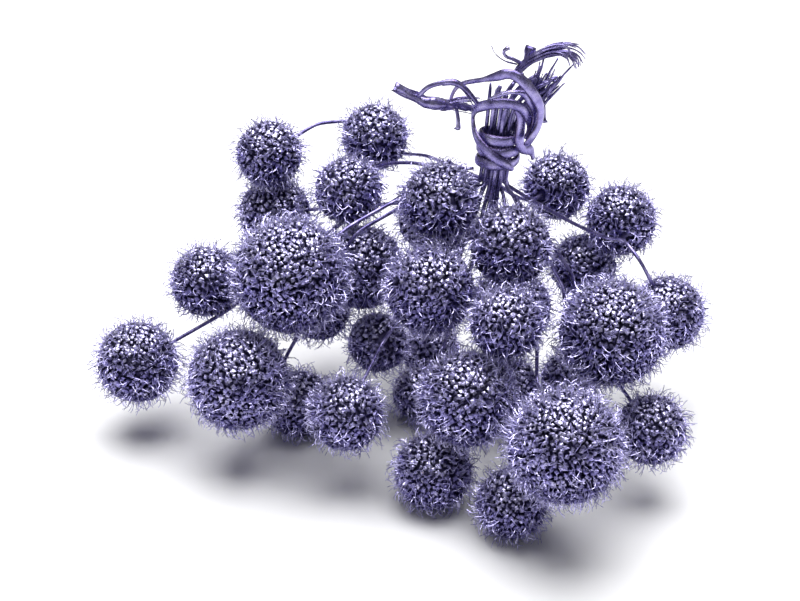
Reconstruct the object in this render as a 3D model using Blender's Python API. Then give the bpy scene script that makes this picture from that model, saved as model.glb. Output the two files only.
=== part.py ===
"""A tied bunch of plane tree seed balls, standing on its lowest balls.

Every ball is a seed head: a round core paved with cone-shaped seed tops, each carrying one bristle.
The balls hang two or three to a stalk. The stalks meet in a round neck, where strips of bark are
wound and looped round them, and their cut ends stand above it beside a stub of twig.
Lengths are in millimetres until a mesh is made. +Z is up, and the viewer stands at -Y.
"""

import math

import bmesh
import bpy
import numpy as np
from mathutils import Matrix, Vector

MM = 0.001

# Seed balls: where each centre is, and the diameter over the bristles.
BALLS = {
    1: (-82, -6, 25, 28),
    2: (-61, 11, 44, 25),
    3: (-42, 45, 71, 24),
    4: (-41, 45, 49, 26),
    5: (-33, -11, 60, 37),
    6: (-8, 43, 78, 24),
    7: (-16, 23, 70, 24),
    8: (-12, 13, 48, 29),
    9: (12, 1, 79, 26),
    10: (9, -19, 60, 29),
    11: (33, -10, 70, 27),
    12: (50, 36, 64, 24),
    13: (70, 25, 58, 25),
    14: (59, 26, 40, 24),
    15: (31, -34, 58, 24),
    16: (63, -27, 50, 34),
    17: (84, 5, 36, 26),
    18: (75, -40, 24, 24),
    19: (47, -67, 38, 35),
    20: (33, -58, 0, 24),
    21: (10, -44, 0, 26),
    22: (20, -41, 36, 31),
    23: (-16, -36, 27, 25),
    24: (-49, -24, 31, 33),
    25: (-32, -8, 0, 24),
    26: (-7, 5, 25, 22),
    27: (-26, 21, 27, 23),
    28: (6, 0, 0, 20),
    29: (34, -3, 14, 22),
    30: (12, 44, 48, 28),
    31: (10, 24, 0, 22),
    32: (55, 7, 0, 22),
    33: (35, 8, 36, 28),
}
RESTING_BALLS = (20, 21, 25, 28, 31, 32)
BRISTLE_LENGTH = 2.6
FLATTENED = 1.6            # how far a resting ball's bristles are pressed in by the table
BRISTLES_PER_MM = 3.0      # bristles modelled for each millimetre of a ball's outer radius
GROOVE_CORNERS = 1.02      # where the grooves between seed tops meet, as a share of the core's radius
SEED_TOP = 0.2             # a bristle's root, as a share of the seed top's width
SEED_TOP_HEIGHT = 1.03     # how high the seed tops stand, as a share of the core's radius
BRISTLE_LEAN = 1.3         # furthest that a bristle's tip stands off to one side
SOCKET_WIDTH = 0.62        # the pit that a stalk enters, as a share of the face it lies in
SOCKET_FLOOR = 0.76        # the bottom of that pit, as a share of the core's radius
BALL_GAP = 0.15            # each ball keeps this far from the plane midway to its neighbour

# Stalks: the points that each one is led past, then the balls that it carries, from the neck
# outwards. The last ball is on its end, and the others hang on short side branches.
BEHIND_NINE = (12, 15, 75)
BEHIND_ELEVEN = (27, 5, 70)
STRINGS = (
    ((BEHIND_NINE, (-9, 25, 59)), (2, 1)),
    (((20, 20, 74),), (30, 4)),
    (((9, 27, 79), (2, 44, 69), (-7, 56, 76), (-18, 51, 77), (-26, 49, 79)), (6, 3)),
    (((8, 20, 80), (-4, 25, 76)), (7, 8, 27)),
    ((), (9, 31)),
    ((), (11,)),
    (((34, 12, 72), (39, 20, 66)), (12,)),
    (((36, 4, 76), (48, 5, 68), (60, 4, 63), (70, 3, 56)), (13, 17)),
    ((), (14, 32)),
    (((47, -8, 60), (47, -9, 50)), (16, 18)),
    ((BEHIND_ELEVEN, (30, -14, 52)), (15, 22)),
    ((BEHIND_ELEVEN,), (10,)),
    ((BEHIND_NINE, (1, 9, 73), (-12, 1, 69)), (5,)),
    ((BEHIND_NINE, (-13, 5, 65)), (24, 25)),
    ((BEHIND_ELEVEN,), (26, 23)),
    ((BEHIND_ELEVEN,), (28, 21)),
    ((BEHIND_ELEVEN,), (33, 29, 20)),
    ((BEHIND_ELEVEN, (41, -20, 42), (40, -25, 31)), (19,)),
)
STALK_RADIUS = 0.65
PEDICEL_RADIUS = 0.6
STALK_SIDES = 6
STALK_POINTS = 46          # points on each stalk while it settles
SETTLING_STEPS = 700
GUIDE_SPREAD = 1.7         # how far apart the stalks pass a shared guide, against the neck
STALK_CLEARANCE = 1.0      # between a stalk and a core that isn't its own
STALK_GAP = 0.45           # between one stalk and the next
STALK_TIP_GAP = 0.35       # between a stalk's end and the bottom of its socket

# The neck, where the stalks are tied, and the line that they follow through it.
NECK = np.array([29.0, 6.0, 90.0])
NECK_LEAN = (0.12, 0.10, 0.99)
NECK_SPACING = 0.98        # spacing rule of the stalks in the neck, as in a sunflower
NECK_RADIUS = 4.2
NECK_BOTTOM = -5.0
SPREAD_BELOW = 0.03        # how much wider the bundle grows for each millimetre below the neck
SPREAD_ABOVE = 0.012
FAN_START = 16.0           # above this height the cut ends fan out to the right
FAN_RATE = 0.011
CUT_END_LOW, CUT_END_HIGH = 23.0, 29.0

# Strips of bark round the neck, as (degrees round it, radius, height above its foot).
# 0 degrees is the viewer's side and 90 is the viewer's right.
STRIP_THICKNESS = 0.7
WINDING_WIDTH, LOOP_WIDTH, TUCKED_WIDTH = 3.5, 3.3, 3.4
WINDING = ((-180, 5.5, -0.8), (0, 5.5, 1.1), (180, 5.6, 3.1), (360, 5.6, 5.0), (540, 5.7, 7.0),
           (720, 5.8, 8.9), (900, 5.9, 10.9))
LOOP = ((38, 6.9, 0.2), (12, 6.9, 2.3), (-24, 7.0, 4.8), (-58, 7.4, 7.5), (-85, 7.8, 10.2),
        (-92, 8.3, 13.4), (-76, 8.7, 16.6), (-51, 9.0, 19.3), (-24, 9.3, 21.6), (2, 9.3, 22.4),
        (25, 9.3, 21.0), (41, 9.3, 18.0), (51, 9.1, 15.3), (54, 8.9, 12.8))
OUTER_LOOP = ((-34, 10.2, 22.8), (-15, 10.4, 25.4), (3, 10.4, 26.7), (23, 10.4, 25.9),
              (40, 10.3, 22.5), (53, 10.2, 18.4), (54, 10.1, 15.0))
TOP_LOOP = ((-97, 15.6, 16.8), (-97, 15.3, 19.6), (-95, 13.0, 22.6), (-86, 10.5, 24.6),
            (-60, 9.3, 27.0), (-28, 9.5, 30.0), (-11, 9.8, 31.7), (6, 10.5, 31.3), (21, 11.5, 28.9),
            (37, 12.2, 24.8), (47, 12.4, 21.1), (50, 12.3, 17.6), (46, 12.1, 14.6))
TUCKED_END = ((14, 7.7, 21.4), (27, 8.0, 18.9), (34, 8.0, 15.4), (37, 7.6, 11.5), (43, 7.4, 8.4),
              (56, 7.8, 6.5), (70, 8.7, 6.2), (83, 9.5, 4.6), (86, 9.9, 2.2))

# Woody pieces, as (right, back, height above the neck's foot), and a radius for each point.
TWIG = ((-32.7, 0, 19.8), (-30.0, 0.1, 18.6), (-26.5, 0.4, 17.5), (-23.0, 0.8, 15.9),
        (-19.5, 1.8, 15.4), (-15.0, 3.6, 15.0), (-10.5, 5.2, 14.2), (-7.6, 6.2, 13.6))
TWIG_RADII = (1.4, 0.9, 1.1, 1.9, 2.0, 1.4, 1.1, 0.9)
TWIG_SHOOT = ((-26.0, 0.0, 17.8), (-23.5, -1.4, 21.6), (-19.6, -2.6, 23.9), (-16.4, -2.9, 24.6),
              (-13.4, -3.0, 23.4), (-10.8, -3.2, 21.4))
TWIG_STUB = ((-14.2, 3.2, 14.8), (-13.2, 2.0, 11.6), (-12.6, 1.6, 8.1))
FIBRES = ((2.3, -0.4, 29.6), (4.5, -1.0, 32.6), (7.0, -1.4, 34.9), (10.4, -1.7, 37.2),
          (13.8, -1.8, 38.3), (16.9, -1.8, 37.7), (18.8, -1.5, 35.3))
FIBRES_RADII = (1.0, 1.2, 1.2, 1.1, 0.9, 0.8, 0.45)
CUT_STUB = ((3.3, -0.8, 31.3), (4.0, 1.6, 34.6), (4.5, 2.4, 37.4))
CURL = ((3.2, -0.8, 31.6), (0.2, -1.3, 33.1), (-2.3, -1.4, 33.8), (-3.0, -1.5, 35.4), (-1.6, -1.7, 36.6))
BROKEN = ((9.8, 2.4, 16.5), (10.3, 1.6, 19.4), (11.1, 0.7, 22.0), (12.6, 0.0, 25.0), (13.8, -0.4, 27.6))
SPLINTER = ((10.8, 1.1, 21.2), (13.6, 1.4, 24.6), (15.8, 0.6, 29.4), (17.9, -0.6, 33.2))
HANGING = ((10.3, 1.6, 19.6), (11.4, 2.0, 18.8), (11.8, 1.4, 16.2), (12.2, 1.0, 13.6))
LEFT_CURL = ((-14.5, 1.5, -2.0), (-12.7, 1.6, -3.4), (-9.6, 1.8, -4.2), (-6.3, 2.0, -3.9))

# One spray paint covers everything, and the smooth bark shows it palest.
VIOLET = (0.20, 0.16, 0.42, 1.0)
STALK_VIOLET = (0.23, 0.17, 0.42, 1.0)
BARK_VIOLET = (0.30, 0.25, 0.55, 1.0)

PART_SEED = 7


def unit(vector):
    vector = np.asarray(vector, float)
    return vector / np.linalg.norm(vector)


AXIS = unit(NECK_LEAN)
ACROSS = unit(np.cross(AXIS, (0.0, 1.0, 0.0)))     # to the viewer's right
BEHIND = np.cross(AXIS, ACROSS)                    # away from the viewer
if ACROSS[0] < 0:
    ACROSS = -ACROSS
if BEHIND[1] < 0:
    BEHIND = -BEHIND


class Ball:
    """Centre and radii of one seed ball."""

    def __init__(self, number):
        x, y, z, diameter = BALLS[number]
        self.number = number
        self.outer = diameter / 2
        self.core = self.outer - BRISTLE_LENGTH
        self.rests = number in RESTING_BALLS
        height = self.outer - FLATTENED if self.rests else z
        self.centre = np.array([x, y, height], float)
        self.stalk_direction = None


def clear_old_scene():
    for old in list(bpy.data.objects):
        bpy.data.objects.remove(old)


def painted(name, colour, roughness):
    """A satin pearl paint."""
    material = bpy.data.materials.new(name)
    material.use_nodes = True
    shader = material.node_tree.nodes["Principled BSDF"]
    shader.inputs["Base Color"].default_value = colour
    shader.inputs["Metallic"].default_value = 0.35
    shader.inputs["Roughness"].default_value = roughness
    return material


def add_object(name, bm, material, place):
    """Turns a bmesh in millimetres into a named object in metres, with its origin at a place."""
    bmesh.ops.recalc_face_normals(bm, faces=bm.faces)
    bmesh.ops.translate(bm, vec=-Vector(place), verts=bm.verts)
    bmesh.ops.scale(bm, vec=(MM, MM, MM), verts=bm.verts)
    mesh = bpy.data.meshes.new(name)
    bm.to_mesh(mesh)
    bm.free()
    mesh.materials.append(material)
    thing = bpy.data.objects.new(name, mesh)
    thing.location = Vector(place) * MM
    bpy.context.scene.collection.objects.link(thing)
    return thing


def from_axis(right, back, height):
    """A point given by its distances to the right of, behind and along the neck's axis."""
    return NECK + ACROSS * right + BEHIND * back + AXIS * height


def smooth_line(points, spacing):
    """Points at an even spacing on a smooth curve through the given ones."""
    points = np.asarray(points, float)
    padded = np.vstack([2 * points[0] - points[1], points, 2 * points[-1] - points[-2]])
    fine = []
    for a, b, c, d in zip(padded, padded[1:], padded[2:], padded[3:]):
        for t in np.linspace(0, 1, 12, endpoint=False):
            fine.append(0.5 * (2 * b + (c - a) * t + (2 * a - 5 * b + 4 * c - d) * t ** 2
                               + (3 * b - a - 3 * c + d) * t ** 3))
    fine = np.array(fine + [points[-1]])
    along = np.concatenate([[0], np.cumsum(np.linalg.norm(np.diff(fine, axis=0), axis=1))])
    count = max(3, round(along[-1] / spacing) + 1)
    wanted = np.linspace(0, along[-1], count)
    return np.stack([np.interp(wanted, along, fine[:, k]) for k in range(fine.shape[1])], axis=1)


def simplified(points, tolerance):
    """Drops the points of a line that lie within the tolerance of the straight run past them."""
    if len(points) < 3:
        return points
    run = points[-1] - points[0]
    offsets = points - points[0]
    shares = np.clip(offsets @ run / max(run @ run, 1e-9), 0, 1)
    misses = np.linalg.norm(offsets - shares[:, None] * run, axis=1)
    worst = int(misses.argmax())
    if misses[worst] < tolerance:
        return points[[0, -1]]
    return np.vstack([simplified(points[:worst + 1], tolerance)[:-1],
                      simplified(points[worst:], tolerance)])


def neck_places(count):
    """Where the stalks stand across the neck: a sunflower's even spiral."""
    golden = math.pi * (3 - math.sqrt(5))
    return np.array([[NECK_SPACING * math.sqrt(n + 0.5) * math.cos(n * golden),
                      NECK_SPACING * math.sqrt(n + 0.5) * math.sin(n * golden)]
                     for n in range(count)])


def sort_into_neck(places, targets):
    """Gives each stalk the place nearest to the side it leaves for, by swapping pairs."""
    order = list(range(len(targets)))

    def cost(stalk, place):
        return float(((places[place] - targets[stalk]) ** 2).sum())

    swapped = True
    while swapped:
        swapped = False
        for a in range(len(order)):
            for b in range(a):
                now = cost(a, order[a]) + cost(b, order[b])
                then = cost(a, order[b]) + cost(b, order[a])
                if then < now - 1e-9:
                    order[a], order[b] = order[b], order[a]
                    swapped = True
    return [places[place] for place in order]


def bundle_spread(height):
    """How much wider the bundle is at a height above the neck than in it."""
    if height < NECK_BOTTOM:
        return 1 + SPREAD_BELOW * (NECK_BOTTOM - height)
    return 1 + SPREAD_ABOVE * max(0.0, height)


def upper_stalk(place, cut_end):
    """A stalk's line from below the neck to its cut end, with the ends fanned to the right."""
    line = []
    for height in np.arange(NECK_BOTTOM, cut_end, 2.5):
        fan = FAN_RATE * max(0.0, height - FAN_START) ** 2
        right = place[0] * bundle_spread(height) + (place[0] + NECK_RADIUS) * fan
        line.append(from_axis(right, place[1] * bundle_spread(height), height))
    return np.array(line[::-1])


def first_guess(start, place, guides, carried, balls):
    """A stalk's rough line: down out of the neck, past its guides and side balls, to its last ball."""
    beside = (ACROSS * place[0] + BEHIND * place[1]) * GUIDE_SPREAD
    corners = [start, start - AXIS * 3.0] + [np.array(guide, float) + beside for guide in guides]
    last = balls[carried[-1]].centre
    for number in carried[:-1]:
        ball = balls[number]
        ahead = last - corners[-1]
        share = np.clip((ball.centre - corners[-1]) @ ahead / (ahead @ ahead), 0.1, 0.9)
        if not guides:
            nearest = corners[-1] + ahead * share
            corners.append(ball.centre + unit(nearest - ball.centre) * (ball.core + 2.5))
    corners.append(last)
    return spaced(np.array(corners), STALK_POINTS)


def spaced(line, count):
    """The given number of points at even distances along a line."""
    along = np.concatenate([[0], np.cumsum(np.linalg.norm(np.diff(line, axis=0), axis=1))])
    wanted = np.linspace(0, along[-1], count)
    return np.stack([np.interp(wanted, along, line[:, k]) for k in range(3)], axis=1)


def pull_to_place(chain, targets):
    """Draws a stalk towards its guides and side balls, given as (point, how near is near enough)."""
    for point, enough in targets:
        away = point - chain[3:-2]
        near = int(np.linalg.norm(away, axis=1).argmin())
        reach = np.linalg.norm(away[near])
        slack = reach - enough
        if slack > 0:
            for shift, share in ((-2, 0.06), (-1, 0.15), (0, 0.25), (1, 0.15), (2, 0.06)):
                place = min(max(near + 3 + shift, 3), len(chain) - 3)
                chain[place] += away[near] / reach * slack * share


def settle_stalks(chains, targets, balls):
    """Lets the stalks spring clear of the balls and of each other, as they do in a real heap."""
    count, points = chains.shape[:2]
    numbers = sorted(balls)
    centres = np.array([balls[n].centre for n in numbers])
    keep_out = np.array([balls[n].core for n in numbers]) + STALK_RADIUS + STALK_CLEARANCE
    own = np.array([[n == carried[-1] for n in numbers] for _, carried in STRINGS])
    owner = np.repeat(np.arange(count), points)
    apart = 2 * STALK_RADIUS + STALK_GAP
    pairs = None
    for step in range(SETTLING_STEPS):
        pull = 0.2 * (chains[:, :-2] + chains[:, 2:] - 2 * chains[:, 1:-1])
        bend = (chains[:, :-4] - 4 * chains[:, 1:-3] + 6 * chains[:, 2:-2]
                - 4 * chains[:, 3:-1] + chains[:, 4:])
        chains[:, 2:-1] += pull[:, 1:]
        chains[:, 2:-2] -= 0.06 * bend
        for chain, places in zip(chains, targets):
            pull_to_place(chain, places)
        offsets = chains[:, :, None] - centres
        reach = np.linalg.norm(offsets, axis=-1)
        inside = np.maximum(0, keep_out - reach) * ~own[:, None, :]
        push = (offsets / np.maximum(reach, 1e-6)[..., None] * inside[..., None]).sum(2)
        chains[:, 2:-1] += push[:, 2:-1]
        flat = chains.reshape(-1, 3)
        if step % 10 == 0:
            square = (flat ** 2).sum(1)
            distance = square[:, None] + square[None] - 2 * flat @ flat.T
            first, second = np.nonzero(np.triu(distance < (apart + 3.0) ** 2, 1))
            pairs = first[owner[first] != owner[second]], second[owner[first] != owner[second]]
        between = flat[pairs[0]] - flat[pairs[1]]
        reach = np.linalg.norm(between, axis=1) + 1e-6
        close = between / reach[:, None] * np.maximum(0, apart + 0.1 - reach)[:, None] * 0.4
        push = np.zeros_like(flat)
        np.add.at(push, pairs[0], close)
        np.add.at(push, pairs[1], -close)
        chains[:, 2:-1] += push.reshape(chains.shape)[:, 2:-1]
        chains[:, 2:-1, 2] = np.maximum(chains[:, 2:-1, 2], 1.5 + STALK_RADIUS)
    return chains


def cut_at_socket(chain, ball):
    """Ends a line in the socket of its last ball, and says from which side it arrives."""
    reach = np.linalg.norm(chain - ball.centre, axis=1)
    outside = chain[reach > ball.core + 3.0]
    direction = unit(outside[-1] - ball.centre)
    landing = [ball.centre + direction * (ball.core + 1.2), ball.centre + direction * socket_end(ball)]
    return np.vstack([outside, landing]), direction


def socket_end(ball):
    """How far from its ball's centre a stalk's end stands."""
    return ball.core * SOCKET_FLOOR + STALK_TIP_GAP


def tube(bm, line, radii, sides=STALK_SIDES):
    """Adds a closed round bar along a line, with one radius for each of its points."""
    line = np.asarray(line, float)
    tangents = np.gradient(line, axis=0)
    side = unit(np.cross(tangents[0], (0.3, 0.5, 0.8)))
    rings = []
    for point, tangent, radius in zip(line, tangents, radii):
        along = unit(tangent)
        side = unit(side - along * (side @ along))
        up = np.cross(along, side)
        ring = []
        for corner in range(sides):
            angle = math.tau * corner / sides
            ring.append(bm.verts.new(point + radius * (math.cos(angle) * side + math.sin(angle) * up)))
        rings.append(ring)
    for low, high in zip(rings, rings[1:]):
        for corner in range(sides):
            after = (corner + 1) % sides
            bm.faces.new((low[corner], low[after], high[after], high[corner]))
    bm.faces.new(rings[0][::-1])
    bm.faces.new(rings[-1])


def join_solids(name, solids, material):
    """Fuses several closed shapes into one object with a Boolean union."""
    first = add_object(name, solids[0], material, NECK)
    if len(solids) == 1:
        return first
    extras = bpy.data.collections.new(name + "_pieces")
    bpy.context.scene.collection.children.link(extras)
    for number, solid in enumerate(solids[1:]):
        extra = add_object(f"{name}_piece_{number}", solid, material, NECK)
        bpy.context.scene.collection.objects.unlink(extra)
        extras.objects.link(extra)
    union = first.modifiers.new("grown together", "BOOLEAN")
    union.operation = "UNION"
    union.solver = "EXACT"
    union.operand_type = "COLLECTION"
    union.collection = extras
    bpy.context.view_layer.update()
    fused = bpy.data.meshes.new_from_object(first.evaluated_get(bpy.context.evaluated_depsgraph_get()))
    first.modifiers.clear()
    first.data = fused
    for extra in list(extras.objects):
        bpy.data.objects.remove(extra)
    bpy.data.collections.remove(extras)
    return first


def make_stalks(balls, material, random):
    """The stalks with their side branches. Returns their centre lines, for the bristles to avoid."""
    sides, targets = [], []
    for guides, carried in STRINGS:
        away = np.array(guides[0] if guides else balls[carried[0]].centre, float) - NECK
        if guides:
            away += 0.3 * (balls[carried[-1]].centre - NECK)
        flat = np.array([away @ ACROSS, away @ BEHIND])
        sides.append(flat / max(np.linalg.norm(flat), 12.0) * NECK_RADIUS)
    places = sort_into_neck(neck_places(len(STRINGS)), sides)
    uppers = [upper_stalk(place, random.uniform(CUT_END_LOW, CUT_END_HIGH)) for place in places]
    for place, (guides, carried) in zip(places, STRINGS):
        beside = (ACROSS * place[0] + BEHIND * place[1]) * GUIDE_SPREAD
        targets.append([(np.array(guide, float) + beside, 1.0) for guide in guides] +
                       [(balls[n].centre, balls[n].core + STALK_RADIUS + STALK_CLEARANCE + 1.2)
                        for n in carried[:-1]])
    chains = np.array([first_guess(upper[-1], place, guides, carried, balls)
                       for upper, place, (guides, carried) in zip(uppers, places, STRINGS)])
    chains = settle_stalks(chains, targets, balls)
    lines = []
    for (guides, carried), upper, chain in zip(STRINGS, uppers, chains):
        end = balls[carried[-1]]
        lower, end.stalk_direction = cut_at_socket(chain, end)
        lines.append(simplified(np.vstack([upper, lower[1:]]), 0.12))
    centre_lines = list(lines)
    for index, ((guides, carried), line) in enumerate(zip(STRINGS, lines)):
        main = bmesh.new()
        tube(main, line, [STALK_RADIUS] * len(line))
        solids = [main]
        dense = spaced(line, 300)
        for number in carried[:-1]:
            ball = balls[number]
            root = dense[int(np.linalg.norm(dense - ball.centre, axis=1).argmin())]
            ball.stalk_direction = unit(root - ball.centre)
            tip = ball.centre + ball.stalk_direction * socket_end(ball)
            branch = bmesh.new()
            tube(branch, [root, (root + tip) / 2, tip], [PEDICEL_RADIUS] * 3)
            solids.append(branch)
            centre_lines.append(np.array([root, tip]))
        join_solids(f"stalk_{index + 1:02d}", solids, material)
    return centre_lines


def even_directions(count):
    """Directions spread evenly all round, as a Fibonacci spiral."""
    golden = math.pi * (3 - math.sqrt(5))
    directions = []
    for n in range(count):
        height = 1 - (2 * n + 1) / count
        ring = math.sqrt(1 - height * height)
        directions.append(Vector((ring * math.cos(n * golden), ring * math.sin(n * golden), height)))
    return directions


def turned(angle, axis):
    return Matrix.Rotation(angle, 3, Vector(axis))


def turn_core(bm, ball):
    """Turns a core so that one face meets its stalk, and on a resting ball another faces down."""
    towards = Vector(ball.stalk_direction)
    middles = [face.calc_center_median().normalized() for face in bm.faces]
    turn = max(middles, key=lambda m: m.dot(towards)).rotation_difference(towards).to_matrix()
    bmesh.ops.rotate(bm, matrix=turn, verts=bm.verts)
    if not ball.rests:
        return
    bm.normal_update()
    normals = [face.normal.copy() for face in bm.faces]
    best = min((math.tau * n / 90 for n in range(90)),
               key=lambda angle: min((turned(angle, towards) @ normal).z for normal in normals))
    bmesh.ops.rotate(bm, matrix=turned(best, towards), verts=bm.verts)


def limits_between(ball, balls):
    """The planes that a ball's bristles may not cross, as (normal, distance) pairs."""
    planes = []
    for other in balls.values():
        if other is ball:
            continue
        away = other.centre - ball.centre
        gap = np.linalg.norm(away)
        if gap > ball.outer + other.outer + 1.0:
            continue
        normal = away / gap
        reach = 0.5 * (gap * gap + ball.core ** 2 - other.core ** 2) / gap
        planes.append((normal, normal @ ball.centre + reach - BALL_GAP))
    return planes


def pressed_in(point, planes):
    """Moves a bristle's tip back to this side of its neighbours, and above the table."""
    for _ in range(4):
        for normal, distance in planes:
            over = normal @ point - distance
            if over > 0:
                point = point - normal * over
        point[2] = max(point[2], 0.0)
    return point


def nearest_gap(root, tip, segments):
    """The smallest distance between a bristle and the stalks' centre lines."""
    if not len(segments):
        return 1e9
    starts, ends = segments[:, 0], segments[:, 1]
    smallest = 1e9
    for share in np.linspace(0, 1, 7):
        point = root + (tip - root) * share
        runs = ends - starts
        along = np.clip(((point - starts) * runs).sum(1) / (runs * runs).sum(1), 0, 1)
        gaps = np.linalg.norm(starts + runs * along[:, None] - point, axis=1)
        smallest = min(smallest, float(gaps.min()) + 0.35 * share)
    return smallest


def bristle_tip(root, outward, planes, segments, random):
    """Where a bristle ends: leaning a little, and bent or worn short where something is in its way."""
    lean = random.uniform(-1, 1, 3)
    lean -= outward * (lean @ outward)
    lean = unit(lean) * random.uniform(0.3, 1.0) * BRISTLE_LEAN
    clearance = STALK_RADIUS + 1.1
    tries = [(1.0, lean)]
    for share in (1.0, 0.7, 0.45, 0.25):
        for turn in range(6):
            angle = math.tau * turn / 6
            side = unit(np.cross(outward, (0.31, 0.44, 0.84)))
            other = np.cross(outward, side)
            tries.append((share, (math.cos(angle) * side + math.sin(angle) * other) * BRISTLE_LEAN * share))
    for share, sideways in tries:
        tip = pressed_in(root + outward * BRISTLE_LENGTH * share + sideways, planes)
        if nearest_gap(root, tip, segments) > clearance:
            return tip
    return root + outward * 0.2


def make_ball(ball, balls, centre_lines, material, random):
    """One seed ball. Its core's faces rise to seed tops, and each top is drawn out to a bristle."""
    bristles = round(BRISTLES_PER_MM * ball.outer)
    corners = bristles // 2 + 2
    bm = bmesh.new()
    for direction in even_directions(corners):
        bm.verts.new(direction)
    bmesh.ops.convex_hull(bm, input=bm.verts)
    bm.normal_update()
    turn_core(bm, ball)
    bmesh.ops.scale(bm, vec=[ball.core * GROOVE_CORNERS] * 3, verts=bm.verts)
    bmesh.ops.translate(bm, vec=ball.centre, verts=bm.verts)
    bm.normal_update()
    planes = limits_between(ball, balls)
    near = []
    for line in centre_lines:
        for start, end in zip(line, line[1:]):
            middle, half = (start + end) / 2, np.linalg.norm(end - start) / 2
            if np.linalg.norm(middle - ball.centre) < ball.outer + half + 3:
                near.append((start, end))
    segments = np.array(near)
    towards = Vector(ball.stalk_direction)
    socket = max(bm.faces, key=lambda f: (f.calc_center_median() - Vector(ball.centre)).dot(towards))
    foot = min(bm.faces, key=lambda f: f.normal.z) if ball.rests else None
    faces = list(bm.faces)
    socket_index, foot_index = faces.index(socket), faces.index(foot) if foot else None
    tops = bmesh.ops.extrude_discrete_faces(bm, faces=faces)["faces"]
    for index, top in enumerate(tops):
        middle = top.calc_center_median()
        outward = (middle - Vector(ball.centre)).normalized()
        if index == socket_index:
            width, height = SOCKET_WIDTH, ball.core * SOCKET_FLOOR
        elif index == foot_index:
            width, height = 0.75, ball.core
        else:
            width, height = SEED_TOP, ball.core * SEED_TOP_HEIGHT
        for vert in top.verts:
            vert.co = middle + (vert.co - middle) * width
            vert.co += outward * (height - (middle - Vector(ball.centre)).length)
        if index == foot_index:
            for vert in top.verts:
                vert.co.z = 0.0
    for index, top in enumerate(tops):
        if index in (socket_index, foot_index):
            continue
        middle = top.calc_center_median()
        outward = unit(np.array(middle) - ball.centre)
        tip = bristle_tip(np.array(middle), outward, planes, segments, random)
        poked = bmesh.ops.poke(bm, faces=[top])
        poked["verts"][0].co = tip
    add_object(f"seed_ball_{ball.number:02d}", bm, material, ball.centre)


def ribbon(name, places, width, material, spacing=2.2):
    """A flat strip of bark that follows (degrees round the neck, radius, height) places."""
    line = smooth_line(places, 4.0)
    points = []
    for degrees, radius, height in line:
        angle = math.radians(degrees)
        points.append(from_axis(radius * math.sin(angle), -radius * math.cos(angle), height))
    points = smooth_line(points, spacing)
    tangents = np.gradient(points, axis=0)
    bm = bmesh.new()
    rings = []
    for point, tangent in zip(points, tangents):
        along = unit(tangent)
        from_neck = point - NECK
        outward = from_neck - AXIS * (from_neck @ AXIS)
        outward = unit(outward - along * (outward @ along))
        edge = np.cross(along, outward)
        ring = []
        for across, out in ((-0.5, 0), (0.5, 0), (0.42, 1), (-0.42, 1)):
            ring.append(bm.verts.new(point + edge * across * width + outward * out * STRIP_THICKNESS))
        rings.append(ring)
    for low, high in zip(rings, rings[1:]):
        for corner in range(4):
            after = (corner + 1) % 4
            bm.faces.new((low[corner], low[after], high[after], high[corner]))
    bm.faces.new(rings[0][::-1])
    bm.faces.new(rings[-1])
    bmesh.ops.triangulate(bm, faces=bm.faces)
    return add_object(name, bm, material, NECK)


def woody(places, radii, sides=6, spacing=2.4):
    """A closed rod through places beside the neck, as its own mesh."""
    line = smooth_line([tuple(place) + (radius,) for place, radius in zip(places, radii)], spacing)
    bm = bmesh.new()
    tube(bm, [from_axis(*row[:3]) for row in line], line[:, 3], sides)
    return bm


def make_tie(bark, wood):
    """The bark strips that hold the bunch, and the broken ends that stick out of them."""
    ribbon("bark_strip_winding", WINDING, WINDING_WIDTH, bark, 3.0)
    ribbon("bark_strip_loop", LOOP, LOOP_WIDTH, bark)
    ribbon("bark_strip_outer_loop", OUTER_LOOP, LOOP_WIDTH, bark)
    ribbon("bark_strip_top_loop", TOP_LOOP, LOOP_WIDTH, bark)
    ribbon("bark_strip_tucked_end", TUCKED_END, TUCKED_WIDTH, bark)
    join_solids("woody_twig", [woody(TWIG, TWIG_RADII, 8), woody(TWIG_SHOOT, [0.6] * 6),
                               woody(TWIG_STUB, (0.6, 0.65, 0.8))], wood)
    join_solids("frayed_fibres", [woody(FIBRES, FIBRES_RADII, 7), woody(CUT_STUB, (0.7, 0.9, 1.3)),
                                  woody(CURL, (0.4, 0.4, 0.4, 0.5, 0.5))], wood)
    join_solids("broken_stalk_ends", [woody(BROKEN, (0.6, 0.8, 0.9, 0.8, 0.5)),
                                      woody(SPLINTER, (0.45, 0.45, 0.4, 0.35)),
                                      woody(HANGING, (0.5, 0.5, 0.55, 0.7))], wood)
    join_solids("curled_stalk_end", [woody(LEFT_CURL, (0.45, 0.5, 0.55, 0.5))], wood)


def stand_on_origin():
    """Parents everything to one empty, which sets the middle of the bunch's box over the origin."""
    bpy.context.view_layer.update()
    things = list(bpy.context.scene.objects)
    points = np.vstack([[tuple(thing.matrix_world @ vert.co) for vert in thing.data.vertices]
                        for thing in things])
    low, high = points.min(0), points.max(0)
    bunch = bpy.data.objects.new("bunch", None)
    bunch.location = (-(low[0] + high[0]) / 2, -(low[1] + high[1]) / 2, -low[2])
    bpy.context.scene.collection.objects.link(bunch)
    for thing in things:
        thing.parent = bunch


def main():
    clear_old_scene()
    random = np.random.default_rng(PART_SEED)
    seed_paint = painted("seed ball paint", VIOLET, 0.45)
    stalk_paint = painted("stalk paint", STALK_VIOLET, 0.45)
    bark_paint = painted("bark paint", BARK_VIOLET, 0.35)
    balls = {number: Ball(number) for number in BALLS}
    centre_lines = make_stalks(balls, stalk_paint, random)
    for ball in balls.values():
        make_ball(ball, balls, centre_lines, seed_paint, random)
    make_tie(bark_paint, stalk_paint)
    stand_on_origin()


main()
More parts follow.
